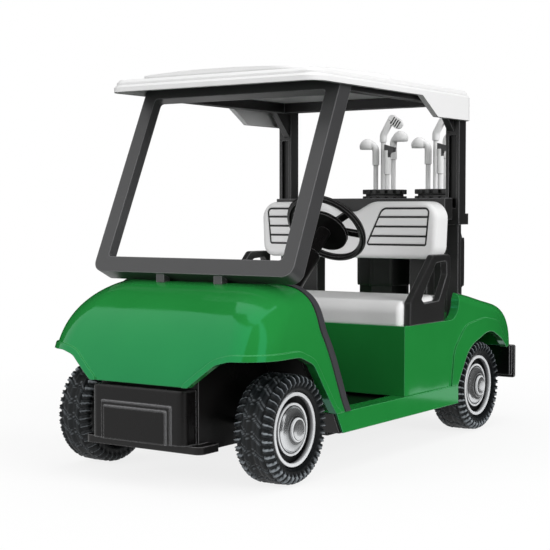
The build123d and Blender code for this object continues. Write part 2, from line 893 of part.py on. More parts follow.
# Roof frame: headers, side rails and corner gussets under the canopy
rail_inset = 2.4
rail_width = 2.5
rail_outer_y = roof_half_width - rail_inset
rail_inner_y = rail_outer_y - rail_width
rail_bottom_z = 77.0
header_depth = 3.0
header_bottom_z = 77.6
header_gap = 0.3
gusset_leg = 6.0
gusset_inset = 0.4
front_header_x = ahead(windshield_foot_x) - windshield_depth / cos(lean)
front_header_x -= (header_bottom_z - windshield_foot_z) * tan(lean) + header_gap
rear_header_front = strut_front + header_depth
roof_frame = block(front_header_x - header_depth, front_header_x, -rail_outer_y, rail_outer_y,
                   header_bottom_z, roof_ceiling_z)
roof_frame += block(behind(strut_front), behind(rear_header_front), -rail_outer_y, rail_outer_y,
                    rail_bottom_z, roof_ceiling_z)
gusset = slab_y(
    [
        (behind(strut_front), rail_bottom_z - gusset_leg),
        (behind(strut_front), roof_ceiling_z),
        (behind(strut_front + gusset_leg), roof_ceiling_z),
        (behind(strut_front + gusset_leg), rail_bottom_z),
    ],
    rail_inner_y + gusset_inset,
    rail_outer_y - gusset_inset,
)
rail = block(behind(strut_front), front_header_x, rail_inner_y, rail_outer_y, rail_bottom_z,
             roof_ceiling_z)
roof_frame += both_sides(rail + gusset)
roof_frame -= windshield_frame
save("roof_frame", roof_frame)

# Steering: a dished four-spoke wheel on a column from the dash
steer_x = -32.9
steer_y = 12.0
steer_z = 48.9
steer_angle = 40.7
steer_radius = 8.5
steer_rim_radius = 0.75
hub_radius = 2.4
hub_height = 1.6
dish_radius = 5.3
dish_thickness = 0.8
spoke_width = 1.5
spoke_thickness = 0.8
column_radius = 1.5
boot_radius = 2.2
boot_start = 8.5
column_length = 38.0
spoke_angles = (12, 168, 210, 330)
tilt = radians(steer_angle)
steer_plane = Plane(origin=(ahead(steer_x), steer_y, steer_z), x_dir=(0, 1, 0),
                    z_dir=(-cos(tilt), 0, sin(tilt)))
rim_section = Pos(steer_radius, 0) * RegularPolygon(steer_rim_radius, 8)
wheel = revolve(Plane.XZ * rim_section, Axis.Z)
wheel += Pos(0, 0, -hub_height / 2) * extrude(Circle(hub_radius), hub_height)
wheel += Pos(0, 0, -spoke_thickness / 2 - dish_thickness) * extrude(Circle(dish_radius),
                                                                   dish_thickness)
for angle in spoke_angles:
    spoke = Box(steer_radius, spoke_width, spoke_thickness,
                align=(Align.MIN, Align.CENTER, Align.CENTER))
    wheel += Rot(0, 0, angle) * spoke
save("steering_wheel", steer_plane * wheel)

column_top = hub_height / 2 + dish_thickness / 2
column = Pos(0, 0, -column_length) * extrude(Circle(column_radius), column_length - column_top)
column += Pos(0, 0, -column_length) * extrude(Circle(boot_radius), column_length - boot_start)
column = steer_plane * column - dashboard
column = column.solids().sort_by(Axis.Z)[-1]
save("steering_column", column)

# Golf bags: faceted bodies drawn in to a round collar with two rings
ring_share = 0.335
bag_radius = ring_share * well_half_width
bag_y = well_half_width / 2 - 0.25
bag_waist_z = 46.0
bag_neck_z = 53.0
bag_facets = 8
bag_ring_height = 1.2
bag_ring_gap = 0.5
bag_ring_proud = 0.4
bag_recess = 1.0
bag_neck_radius = bag_radius - bag_ring_proud


def golf_bag(y):
    """One bag standing at y: its recess holds the clubs' shafts."""
    waist = Plane.XY.offset(bag_waist_z) * RegularPolygon(bag_body_radius, bag_facets)
    neck = Plane.XY.offset(bag_neck_z) * RegularPolygon(bag_neck_radius, bag_facets)
    foot = Plane.XY.offset(bag_floor_z) * RegularPolygon(bag_body_radius, bag_facets)
    bag = extrude(foot, bag_waist_z - bag_floor_z) + loft([waist, neck], ruled=True)
    bag += rod_z(0, 0, bag_neck_radius, bag_neck_z, bag_top_z)
    for ring in (0, 1):
        ring_top = bag_top_z - ring * (bag_ring_height + bag_ring_gap)
        bag += rod_z(0, 0, bag_radius, ring_top - bag_ring_height, ring_top)
    bag -= rod_z(0, 0, bag_neck_radius - panel_wall, bag_top_z - bag_recess, far_out)
    return Pos(behind(bag_x), y, 0) * bag


# Clubs: two woods, an iron and a putter in each bag, placed by shares of the bag's collar
shaft_radius = 0.62
neck_radius = 0.9
neck_bend_share = 0.37785755
neck_bend = neck_bend_share * bag_radius
wood_height = 2.75
wood_levels = (
    # half depth and half width of the head at even steps from its sole to its crown
    (1.35, 1.95),
    (1.55, 2.15),
    (1.45, 2.05),
    (1.10, 1.60),
    (0.35, 0.55),
)
iron_size = (4.4, 2.5, 1.0)
iron_corner = 1.1
iron_tilt = -35.0
putter_thickness = 1.2
putter_head = (
    # outline of the head from its neck, across and up
    (-0.6, -1.6),
    (0.5, -1.5),
    (0.9, -0.7),
    (2.1, -0.4),
    (2.3, 0.7),
    (-0.6, 1.5),
)
shaft_foot_z = bag_top_z - bag_recess


def bent_neck(x, points):
    """Round neck that follows (y, z) points in the plane across the cart at x."""
    path = Plane.YZ.offset(x) * FilletPolyline(*points, radius=neck_bend)
    start_y, start_z = points[0]
    return sweep(Pos(x, start_y, start_z) * Circle(neck_radius), path=path)


def wood(x, y, joint_z, head_y, head_z):
    """Club with a domed head turned to one side."""
    step = wood_height / (len(wood_levels) - 1)
    sole_z = head_z - wood_height / 2
    faces = [Pos(x, head_y, sole_z + level * step) * Ellipse(depth, width)
             for level, (depth, width) in enumerate(wood_levels)]
    head = loft(faces)
    shaft = rod_z(x, y, shaft_radius, shaft_foot_z, joint_z)
    return shaft + bent_neck(x, [(y, joint_z), (y, head_z), (head_y, head_z)]) + head


def iron(x, y, joint_z, head_y, head_z):
    """Club with a flat blade hung from a curved neck."""
    length, height, thickness = iron_size
    blade = RectangleRounded(length, height, iron_corner)
    blade = Plane.YZ * Pos(head_y, head_z) * Rot(0, 0, iron_tilt) * extrude(blade, thickness)
    shaft = rod_z(x, y, shaft_radius, shaft_foot_z, joint_z)
    bend_z = joint_z + 2 * neck_radius
    neck_end = (head_y - length / 3, head_z + height / 8)
    neck = bent_neck(x, [(y, joint_z), (y, bend_z), neck_end])
    return shaft + neck + Pos(x - thickness / 2, 0, 0) * blade


def putter(x, y, joint_z, head_z):
    """Club with a wedge head on a straight neck."""
    head = slab_x([(y + across, head_z + up) for across, up in putter_head],
                  x - putter_thickness / 2, x + putter_thickness / 2)
    shaft = rod_z(x, y, shaft_radius, shaft_foot_z, joint_z)
    return shaft + rod_z(x, y, neck_radius, joint_z, head_z) + head


wood_places = (
    # shares of the collar: along, across to the shaft, across to the head; neck and head heights
    (0.1, -0.45, -0.94, 64.5, 70.0),
    (-0.44, 0.23, 0.62, 66.0, 72.0),
)
iron_place = (-0.1, -0.15, 0.53, 70.5, 75.6)
putter_place = (0.3, 0.3, 62.0, 68.2)
for side, y in (("left", bag_y), ("right", -bag_y)):
    save(f"golf_bag_{side}", golf_bag(y))
    x = behind(bag_x)
    along, shaft, head, neck_z, head_z = iron_place
    clubs = iron(x + along * bag_radius, y + shaft * bag_radius, neck_z, y + head * bag_radius,
                 head_z)
    for along, shaft, head, neck_z, head_z in wood_places:
        clubs += wood(x + along * bag_radius, y + shaft * bag_radius, neck_z,
                      y + head * bag_radius, head_z)
    along, shaft, neck_z, head_z = putter_place
    clubs += putter(x + along * bag_radius, y + shaft * bag_radius, neck_z, head_z)
    save(f"clubs_{side}", clubs)
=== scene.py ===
"""Looks of a toy golf cart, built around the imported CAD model. Lengths in the script are in
millimetres and become metres with MM. +X is forwards, +Y the cart's left, +Z up."""

import bpy
import numpy as np
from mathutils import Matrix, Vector


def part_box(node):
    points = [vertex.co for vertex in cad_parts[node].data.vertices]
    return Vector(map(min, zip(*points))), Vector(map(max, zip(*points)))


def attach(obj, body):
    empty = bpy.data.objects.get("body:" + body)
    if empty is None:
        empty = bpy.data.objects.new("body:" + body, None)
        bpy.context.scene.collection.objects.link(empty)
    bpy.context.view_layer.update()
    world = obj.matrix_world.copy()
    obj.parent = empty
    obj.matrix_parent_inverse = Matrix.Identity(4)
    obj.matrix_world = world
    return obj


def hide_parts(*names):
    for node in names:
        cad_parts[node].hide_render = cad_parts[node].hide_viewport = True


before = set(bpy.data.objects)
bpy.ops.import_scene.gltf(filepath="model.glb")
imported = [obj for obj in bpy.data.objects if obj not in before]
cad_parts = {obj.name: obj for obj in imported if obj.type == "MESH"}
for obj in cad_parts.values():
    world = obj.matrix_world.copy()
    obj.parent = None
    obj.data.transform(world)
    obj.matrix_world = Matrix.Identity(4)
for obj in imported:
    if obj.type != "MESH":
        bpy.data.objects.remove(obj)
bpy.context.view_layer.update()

# Chassis, floor pan, bag tray and dashboard: the cart's dark under-body, injection moulded in
# black ABS with a fine spark-eroded skin. The parts snap together and show no fixings from above.
MM = 0.001


def linear(code):
    """sRGB hex colour to linear RGBA: each channel goes through the sRGB curve."""
    channels = np.array([int(code[i:i + 2], 16) for i in (1, 3, 5)]) / 255
    curve = np.where(channels <= 0.04045, channels / 12.92, ((channels + 0.055) / 1.055) ** 2.4)
    return (*curve.tolist(), 1.0)


def add(tree, kind, inputs=None, **settings):
    """Add one shader node: settings fill its properties, inputs fill or link its sockets."""
    made = tree.nodes.new("ShaderNode" + kind)
    for name, value in settings.items():
        setattr(made, name, value)
    for name, value in (inputs or {}).items():
        if isinstance(value, bpy.types.NodeSocket):
            tree.links.new(value, made.inputs[name])
        else:
            made.inputs[name].default_value = value
    return made


def new_finish(name):
    """Start a material: gives it and its main shader."""
    material = bpy.data.materials.new(name)
    material.use_nodes = True
    return material, material.node_tree.nodes["Principled BSDF"]


def moulded(name, shade, tint, painted_edge, *, rough, grain, relief, edge, shine=0.5):
    """Moulded plastic, or a coat sprayed on a casting. Flow marks sway the colour from shade to
    tint and the roughness over its span. The grain, of its own width, lifts the skin by relief.
    Edges are rounded in the shading by the edge radius, and light is painted on them too: the
    colour goes over to the painted edge colour, a painted highlight where that is lighter and
    painted shade where it is darker."""
    flow_size = 9.0
    flow_span = (0.3, 0.7)
    bend_span = (0.985, 0.80)
    material, shader = new_finish(name)
    tree = material.node_tree
    place = add(tree, "TexCoord").outputs["Object"]
    flow = add(tree, "TexNoise", {"Vector": place, "Scale": 1 / (flow_size * MM), "Detail": 3.0})
    skin = add(tree, "TexNoise", {"Vector": place, "Scale": 1 / (grain * MM), "Detail": 2.0})
    colour = add(tree, "Mix", {"Factor": flow.outputs["Fac"], 6: linear(shade), 7: linear(tint)},
                 data_type="RGBA")
    gloss = add(tree, "MapRange", {"Value": flow.outputs["Fac"], "From Min": flow_span[0],
                                   "From Max": flow_span[1], "To Min": rough[0], "To Max": rough[1]})
    rounded = add(tree, "Bevel", {"Radius": edge * MM}, samples=4)
    flat = add(tree, "NewGeometry")
    bend = add(tree, "VectorMath", {0: rounded.outputs["Normal"], 1: flat.outputs["Normal"]},
               operation="DOT_PRODUCT")
    rim = add(tree, "MapRange", {"Value": bend.outputs["Value"], "From Min": bend_span[0],
                                 "From Max": bend_span[1], "To Min": 0.0, "To Max": 1.0})
    # Painted light: on the rounded edges the colour is painted over to the edge colour
    edge_painted = add(tree, "Mix",
               {"Factor": rim.outputs["Result"], 6: colour.outputs[2], 7: linear(painted_edge)},
               data_type="RGBA")
    bump = add(tree, "Bump", {"Height": skin.outputs["Fac"], "Distance": relief * MM, "Strength": 1.0,
                              "Normal": rounded.outputs["Normal"]})
    shader.inputs["Specular IOR Level"].default_value = shine
    tree.links.new(edge_painted.outputs[2], shader.inputs["Base Color"])
    tree.links.new(gloss.outputs["Result"], shader.inputs["Roughness"])
    tree.links.new(bump.outputs["Normal"], shader.inputs["Normal"])
    return material


def dress(material, *names):
    """Give CAD nodes one finish."""
    for name in names:
        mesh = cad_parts[name].data
        mesh.materials.clear()
        mesh.materials.append(material)


# Black ABS: nearly black, satin, with soft grey highlights painted on the edges where the light catches
black_abs = moulded("black_abs", "#0D0C0C", "#131212", "#8A898A",
                    rough=(0.26, 0.36), grain=0.35, relief=0.010, edge=0.28, shine=0.3)
dress(black_abs, "chassis", "dashboard", "floor_pan", "bag_tray")

# Bumpers: two stepped ABS bars on the ends of the chassis. Their mould is polished, so they are
# blacker and glossier than the under-body. Bright highlights are painted on the rounded edges of
# the steps.
bumper_abs = moulded("bumper_abs", "#080707", "#0C0B0B", "#A4A4A6",
                     rough=(0.22, 0.30), grain=0.35, relief=0.008, edge=0.45, shine=0.25)
dress(bumper_abs, "front_bumper", "rear_bumper")

# Axles: plain drawn steel rods, pressed into the rims and turning in the chassis walls. The
# drawing die leaves fine lines along the rod.
line_width = 0.2
line_stretch = 0.05
drawn_steel, shader = new_finish("drawn_steel")
tree = drawn_steel.node_tree
place = add(tree, "TexCoord").outputs["Object"]
stretch = add(tree, "Mapping", {"Vector": place, "Scale": (1.0, line_stretch, 1.0)})
lines = add(tree, "TexNoise", {"Vector": stretch.outputs["Vector"], "Scale": 1 / (line_width * MM)})
gloss = add(tree, "MapRange", {"Value": lines.outputs["Fac"], "To Min": 0.2, "To Max": 0.45})
shader.inputs["Metallic"].default_value = 1.0
shader.inputs["Base Color"].default_value = linear("#B4B4B2")
tree.links.new(gloss.outputs["Result"], shader.inputs["Roughness"])
dress(drawn_steel, "front_axle", "rear_axle")

# Tyres: one soft PVC ring each, stretched over the rim. The tread is moulded in: hollow-backed
# lugs round both shoulders and two rows of slanted blocks between them.
wheel_sides = {"front_left": 1, "front_right": -1, "rear_left": 1, "rear_right": -1}


def corners(node):
    """Lowest and highest corner of a CAD node, in millimetres."""
    return [np.array(corner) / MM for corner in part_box(node)]


def middle_of(node):
    """Middle of a CAD node's box, in millimetres."""
    low, high = corners(node)
    return (low + high) / 2


tyre_low, tyre_high = corners("front_tyre_left")
tyre_half_width = (tyre_high[1] - tyre_low[1]) / 2
crown_radius = 10.25
belly_radius = 8.9
bead_radius = 7.22
crown_power = 3.0
bead_power = 4.5
section_steps = 92
steps_per_lug = 10
tread_limit = -0.3

# Lugs: lengths run along the section from the crown's middle line, and the widths of a lug, its
# hollow and their flanks are shares of the pitch
lug_count = 40
lug_height = 0.55
lug_slant = 0.12
lug_half = 0.31
lug_flank = 0.10
hollow_depth = 0.35
hollow_half = 0.20
hollow_flank = 0.12
hollow_start = (2.9, 3.3)
shoulder_start = (2.30, 2.50)
shoulder_end = 4.9
shoulder_fade = 0.8

# Blocks: half as many as the lugs, parted by one groove on the middle line and one on each side
blocks_per_lug = 0.5
block_height = 0.75
block_slant = 0.30
block_shift = 0.25
block_gap = (0.05, 0.12)
block_end = 2.15
block_fade = 0.15
middle_groove = (0.10, 0.22)
side_groove = (0.06, 0.16)
side_groove_place = 1.25

# Painted glints on the tread's edges: where they lie across a lug, and beside the gaps between the
# blocks
lug_glint_start = (0.10, 0.18)
lug_glint_end = 0.33
lug_glint_fade = 0.05
block_glint = 0.5
block_glint_end = 0.20
block_glint_fade = 0.06


def rise(value, start, end):
    """Smooth step: 0 before start, 1 after end, and a cubic ease between them."""
    share = np.clip((value - start) / (end - start), 0, 1)
    return share * share * (3 - 2 * share)


def boxy(wave, power):
    """Sine or cosine made squarer: its size to a power, with its own sign."""
    return np.sign(wave) * np.abs(wave) ** power


def round_axle(middle, sign, turns, radius, across):
    """Points of a shape carried round an axle. Across runs along the axle, outwards on both sides
    of the cart, and the turn is mirrored with it."""
    turns = turns * sign
    return np.stack([middle[0] + radius * np.cos(turns), middle[1] + sign * across + 0 * turns,
                     middle[2] + radius * np.sin(turns)], axis=-1)


def tyre_surface(middle, sign):
    """Closed ring on a grid of turn and section angle. The section is a squarish oval: width
    times |sin|^(2/n) across, height times |cos|^(2/n) along the radius. The tread is pushed out
    along the section's normal by a relief made of lugs and blocks in step with the turn. The
    relief, as a share of the lug's height, and the painted glints on the edges come with the points."""
    turns = np.linspace(0, 2 * np.pi, lug_count * steps_per_lug, endpoint=False)[:, None]
    angle = np.linspace(-np.pi, np.pi, section_steps, endpoint=False)[None, :]
    outside = np.cos(angle) > 0
    power = np.where(outside, 2 / crown_power, 2 / bead_power)
    height = np.where(outside, crown_radius - belly_radius, belly_radius - bead_radius)
    across = tyre_half_width * boxy(np.sin(angle), power)
    radius = belly_radius + height * boxy(np.cos(angle), power)
    step_across = np.gradient(across, axis=1)
    step_radius = np.gradient(radius, axis=1)
    length = np.hypot(step_across, step_radius)
    from_crown = np.cumsum(length, axis=1)
    from_crown = np.abs(from_crown - np.interp(0, angle[0], from_crown[0]))
    phase = turns * lug_count / (2 * np.pi)

    lug_place = (phase + lug_slant * from_crown) % 1 - 0.5
    lug = rise(lug_half - np.abs(lug_place), 0, lug_flank)
    hollow = hollow_depth * rise(hollow_half - np.abs(lug_place), 0, hollow_flank)
    hollow = hollow * rise(from_crown, *hollow_start)
    shoulder = rise(from_crown, *shoulder_start) * rise(shoulder_end - from_crown, 0, shoulder_fade)
    slant = phase * blocks_per_lug + np.sign(angle) * (block_slant * from_crown + block_shift)
    from_gap = np.abs(slant % 1 - 0.5)
    ribs = rise(np.abs(from_crown - side_groove_place), *side_groove) * rise(from_crown, *middle_groove)
    block = rise(from_gap, *block_gap) * ribs * rise(block_end - from_crown, 0, block_fade)
    treaded = np.cos(angle) > tread_limit
    relief = lug_height * (shoulder * (lug - hollow) + block_height * block) * treaded

    # Painted glints: a band along one side of each lug, and beside the gaps between the blocks
    painted_glint = rise(lug_place, *lug_glint_start) * rise(lug_glint_end - lug_place, 0, lug_glint_fade) * shoulder
    painted_glint = painted_glint + block_glint * block * rise(block_glint_end - from_gap, 0, block_glint_fade)
    across = across - relief * step_radius / length
    radius = radius + relief * step_across / length
    return round_axle(middle, sign, turns, radius, across), relief / lug_height, painted_glint * treaded


def ring_mesh(name, points):
    """Mesh of a closed grid: quads join each point to its neighbours, both ways round."""
    index = np.arange(points.shape[0] * points.shape[1]).reshape(points.shape[:2])
    ahead = np.roll(index, -1, axis=1)
    quads = np.stack([index, ahead, np.roll(ahead, -1, axis=0), np.roll(index, -1, axis=0)], axis=-1)
    mesh = bpy.data.meshes.new(name)
    mesh.from_pydata(points.reshape(-1, 3) * MM, [], quads.reshape(-1, 4))
    mesh.shade_smooth()
    return mesh


def mark(mesh, name, values):
    """Store a number for each point of a mesh, under the name by which a material reads it."""
    mesh.attributes.new(name, "FLOAT", "POINT").data.foreach_set("value", values.ravel())


def put(name, mesh, body, slot, *replaced):
    """Hang a new piece on a body, in place of CAD nodes. The slot is not used."""
    piece = bpy.data.objects.new(name, mesh)
    bpy.context.scene.collection.objects.link(piece)
    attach(piece, body)
    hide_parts(*replaced)


def paint(material, mask, code):
    """Lay a colour over a finish where a mask is 1."""
    tree = material.node_tree
    base = tree.nodes["Principled BSDF"].inputs["Base Color"]
    coat = add(tree, "Mix", {"Factor": mask, 6: base.links[0].from_socket, 7: linear(code)},
               data_type="RGBA")
    tree.links.new(coat.outputs[2], base)


# Soft PVC: dull black. Painted highlights make the tops of the lugs greyer, and lay pale grey
# glints along one edge of each lug and beside the gaps between the blocks. The rounded edges
# get painted grey highlights too.
tyre_pvc = moulded("tyre_pvc", "#0A0C0D", "#15181A", "#3A3F43",
                   rough=(0.42, 0.55), grain=0.30, relief=0.06, edge=0.12, shine=0.25)
tree = tyre_pvc.node_tree
# Painted highlight: the tops of the lugs are painted greyer
lug_top = add(tree, "Attribute", attribute_name="lug_top")
lug_top_highlight = add(tree, "MapRange", {"Value": lug_top.outputs["Fac"], "From Min": 0.45, "From Max": 1.0,
                                "To Min": 0.0, "To Max": 0.6})
paint(tyre_pvc, lug_top_highlight.outputs["Result"], "#2A2E31")
# Painted highlight: pale glints along the edges of the lugs and blocks
painted_glint_edge = add(tree, "Attribute", attribute_name="painted_glint_edge")
paint(tyre_pvc, painted_glint_edge.outputs["Fac"], "#8C9297")

for wheel, sign in wheel_sides.items():
    points, lug_tops, painted_glint_edges = tyre_surface(middle_of(wheel.replace("_", "_tyre_")), sign)
    mesh = ring_mesh(f"tyre_{wheel}", points)
    mark(mesh, "lug_top", lug_tops)
    mark(mesh, "painted_glint_edge", painted_glint_edges)
    mesh.materials.append(tyre_pvc)
    put(f"tyre_{wheel}", mesh, wheel.split("_")[0] + "_wheels", "tyre_rubber",
        wheel.replace("_", "_tyre_"))

# Rims: ABS discs, pressed on the axles inside the tyres. They are vacuum plated bright and then
# sprayed black in the groove between the flange and the hub dome.
rim_inset = 0.35
rim_half_depth = tyre_half_width - rim_inset
rim_steps = 180
bend_reach = 0.12
bend_steps = 5


def eased(corner_points, reach, steps):
    """Round a profile: near each corner the line leaves it by the reach, or by a little under half
    of a short run, and follows a quadratic curve to the next run."""
    run_share = 0.45
    corner_points = np.array(corner_points, float)
    runs = np.diff(corner_points, axis=0)
    lengths = np.linalg.norm(runs, axis=1, keepdims=True)
    cut = np.minimum(reach, lengths * run_share) / lengths * runs
    share = np.linspace(0, 1, steps)[None, :, None]
    inner = corner_points[1:-1, None]
    start = inner - cut[:-1, None]
    end = inner + cut[1:, None]
    bends = (1 - share) ** 2 * start + 2 * share * (1 - share) * inner + share ** 2 * end
    return np.concatenate([corner_points[:1], bends.reshape(-1, 2), corner_points[-1:]])


def turned_mesh(name, points):
    """Mesh of a turned shape: rows run round it, columns along its profile from pole to pole. Both
    poles are single points closed by fans of triangles."""
    rows, columns = points.shape[:2]
    index = np.arange(rows * columns).reshape(rows, columns)
    following = np.roll(index, -1, axis=0)
    quads = np.stack([index[:, :-1], index[:, 1:], following[:, 1:], following[:, :-1]], axis=-1)
    poles = points[:, [0, -1]].mean(axis=0)
    first = np.full(rows, rows * columns)
    fans = np.concatenate([np.stack([first, index[:, 0], following[:, 0]], axis=-1),
                           np.stack([first + 1, following[:, -1], index[:, -1]], axis=-1)])
    mesh = bpy.data.meshes.new(name)
    mesh.from_pydata(np.concatenate([points.reshape(-1, 3), poles]) * MM, [],
                     quads.reshape(-1, 4).tolist() + fans.tolist())
    mesh.shade_smooth()
    return mesh


# Profile as radius and height above a face: the cap, outside only, then moat, dome, ring, groove
# and flange. The inner face is closed by a plain hub.
cap_profile = [(0.05, 1.02), (1.2, 0.99), (1.85, 0.90), (2.0, 0.78), (2.1, 0.80), (2.34, 0.72),
               (2.42, 0.30), (2.62, 0.20)]
face_profile = [(2.9, 0.22), (3.5, 0.12), (4.1, -0.20), (4.45, -0.62), (4.55, -0.75), (4.66, -0.62),
                (5.10, -0.55), (5.14, -1.20), (5.40, -1.22), (5.44, -1.23), (6.10, -1.23),
                (6.14, -1.22), (6.42, -1.20), (6.46, -0.12), (6.60, 0.0), (7.08, 0.0), (7.2, -0.14)]
hub_profile = [(1.2, 0.25), (0.05, 0.25)]
outer_face = [(radius, rim_half_depth + height) for radius, height in cap_profile + face_profile]
inner_face = [(radius, -rim_half_depth - height) for radius, height in face_profile[::-1] + hub_profile]
rim_profile = eased(outer_face + inner_face, bend_reach, bend_steps)

# Bands of radius: the sprayed groove, the pale rings, the creases beside them, where shade is
# painted dark, and the dome, over which the painted shade fades out
groove_band = (5.12, 6.45)
groove_sink = 0.2
ring_bands = ((2.02, 2.40), (4.6, 5.12), (6.45, 7.5))
crease_bands = ((1.90, 2.02), (2.40, 2.66), (4.42, 4.64))
crease_share = 0.85
dome_start = 2.4
dome_fade = (2.7, 4.2)
dome_share = 0.6


def within(radius, *bands):
    """1 where a radius lies inside one of the bands, 0 elsewhere."""
    return np.any([(radius > low) & (radius < high) for low, high in bands], axis=0).astype(float)


def rim_surface(middle, sign):
    """Profile carried round the axle. The marks of the groove, the rings and the painted shade of
    the creases and the dome come with the points."""
    turns = np.linspace(0, 2 * np.pi, rim_steps, endpoint=False)[:, None]
    radius = rim_profile[None, :, 0] + 0 * turns
    height = rim_profile[None, :, 1] + 0 * turns
    dome = dome_share * (1 - rise(radius, *dome_fade)) * (radius > dome_start)
    marks = {
        "groove": within(radius, groove_band) * (np.abs(height) < rim_half_depth - groove_sink),
        "ring": within(radius, *ring_bands),
        "crease_shade": np.maximum(within(radius, *crease_bands) * crease_share, dome),
    }
    return round_axle(middle, sign, turns, radius, height), marks


# Vacuum plating under a milky lacquer: half mirror, half silver, with a faint swirl. The sprayed
# groove is dark, and shade is painted dark into the creases and over the dome near the cap.
swirl_size = 1.2
swirl_relief = 0.006
vacuum_plating, shader = new_finish("vacuum_plating")
tree = vacuum_plating.node_tree
place = add(tree, "TexCoord").outputs["Object"]
swirl = add(tree, "TexNoise", {"Vector": place, "Scale": 1 / (swirl_size * MM), "Detail": 3.0})
groove = add(tree, "Attribute", attribute_name="groove").outputs["Fac"]
ring = add(tree, "Attribute", attribute_name="ring").outputs["Fac"]
crease_shade = add(tree, "Attribute", attribute_name="crease_shade").outputs["Fac"]
colour = add(tree, "Mix", {"Factor": groove, 6: linear("#E0E2E4"), 7: linear("#232425")},
             data_type="RGBA")
gloss = add(tree, "MapRange", {"Value": swirl.outputs["Fac"], "To Min": 0.20, "To Max": 0.28})
dull = add(tree, "Math", {0: groove, 1: 0.25, 2: gloss.outputs["Result"]}, operation="MULTIPLY_ADD")
bump = add(tree, "Bump", {"Height": swirl.outputs["Fac"], "Distance": swirl_relief * MM,
                          "Strength": 1.0})
mirror = add(tree, "MapRange", {"Value": ring, "To Min": 0.88, "To Max": 0.15})
tree.links.new(colour.outputs[2], shader.inputs["Base Color"])
tree.links.new(mirror.outputs["Result"], shader.inputs["Metallic"])
tree.links.new(dull.outputs[0], shader.inputs["Roughness"])
tree.links.new(bump.outputs["Normal"], shader.inputs["Normal"])
# Painted shade: the creases and the dome near the cap are painted dark
paint(vacuum_plating, crease_shade, "#17181A")

pole_marks = [0.0, 0.0]
for wheel, sign in wheel_sides.items():
    points, marks = rim_surface(middle_of(wheel.replace("_", "_tyre_")), sign)
    mesh = turned_mesh(f"rim_{wheel}", points)
    for name, values in marks.items():
        mark(mesh, name, np.append(values, pole_marks))
    mesh.materials.append(vacuum_plating)
    put(f"rim_{wheel}", mesh, wheel.split("_")[0] + "_wheels", "rim_plating",
        wheel.replace("_", "_rim_"))

# Body: cowl, sills and rear body, thin die-cast shells over the under-body. They are sprayed in a
# glossy green enamel that tints its own highlights, and a bright highlight is painted along the
# edges.
green_enamel = moulded("green_enamel", "#218038", "#25883D", "#57AE70",
                       rough=(0.07, 0.12), grain=1.6, relief=0.003, edge=0.30, shine=0.75)
shader = green_enamel.node_tree.nodes["Principled BSDF"]
shader.inputs["Specular Tint"].default_value = linear("#61FFDC")
dress(green_enamel, "front_cowl", "sill_left", "sill_right", "rear_body")

# Cowl trim: a satin ABS strip on each side, pushed over the cowl's rear edge. It is dark grey on
# its broad face, and shade is painted nearly black along its edges.
trim_abs = moulded("trim_abs", "#3A3A3D", "#444448", "#1A1A1A",
                   rough=(0.35, 0.45), grain=0.35, relief=0.01, edge=0.40)
dress(trim_abs, "cowl_trim_left", "cowl_trim_right")

# Canopy frame and hip restraints: satin ABS mouldings, a greyer black than the under-body, pushed
# into sockets in the hood, the deck and the seat box. Grey highlights are painted on their edges.
frame_abs = moulded("frame_abs", "#242424", "#2A2A2A", "#88888A",
                    rough=(0.30, 0.40), grain=0.35, relief=0.010, edge=0.38)
dress(frame_abs, "roof_frame", "seat_back_frame", "hip_restraint_left", "hip_restraint_right")

# Struts: two upright posts on the seat box that carry the roof's tail, in the canopy frame's satin
# ABS. A moulded slot runs down the front of each, and shade is painted black inside it.
slot_depth = (0.08, 0.85)
slot_half_width = 0.96
slot_levels = (53.3, 70.2)


def between(tree, value, low, high):
    """1 where a length lies between two limits in millimetres, 0 elsewhere."""
    return add(tree, "Math", {0: value, 1: (low + high) / 2 * MM, 2: (high - low) / 2 * MM},
               operation="COMPARE").outputs[0]


def both(tree, first, *others):
    """Product of masks: 1 only where all of them are 1."""
    for other in others:
        first = add(tree, "Math", {0: first, 1: other}, operation="MULTIPLY").outputs[0]
    return first


def window(tree, lengths, limits):
    """1 where each of three lengths lies between its own two limits, 0 elsewhere."""
    return both(tree, *(between(tree, length, *pair) for length, pair in zip(lengths, limits)))


def mirrored_place(tree):
    """A point's X, its distance from the cart's middle plane, and its Z."""
    axes = add(tree, "SeparateXYZ", {"Vector": add(tree, "TexCoord").outputs["Object"]}).outputs
    aside = add(tree, "Math", {0: axes["Y"]}, operation="ABSOLUTE").outputs[0]
    return axes["X"], aside, axes["Z"]


strut_low, strut_high = corners("rear_strut_left")
strut_front = strut_high[0]
strut_middle = (strut_low[1] + strut_high[1]) / 2
slot_limits = (
    (strut_front - slot_depth[1], strut_front - slot_depth[0]),
    (strut_middle - slot_half_width, strut_middle + slot_half_width),
    slot_levels,
)
strut_abs = frame_abs.copy()
strut_abs.name = "strut_abs"
tree = strut_abs.node_tree
# Painted shade: the inside of each slot is painted nearly black
paint(strut_abs, window(tree, mirrored_place(tree), slot_limits), "#020202")
dress(strut_abs, "rear_strut_left", "rear_strut_right")

# Windshield frame: one open ABS moulding on two pegs in the hood, with no pane. It is painted
# a greyer black than its neighbours, a painted sheen for the light on its front faces, and grey
# highlights are painted on its edges.
windshield_abs = moulded("windshield_abs", "#404041", "#484849", "#8E8E90",
                         rough=(0.32, 0.42), grain=0.35, relief=0.010, edge=0.35)
dress(windshield_abs, "windshield_frame")

# Steering: the wheel on its column, moulded in the under-body's black ABS and pressed into the
# dashboard. Neither of them turns.
dress(black_abs, "steering_wheel", "steering_column")

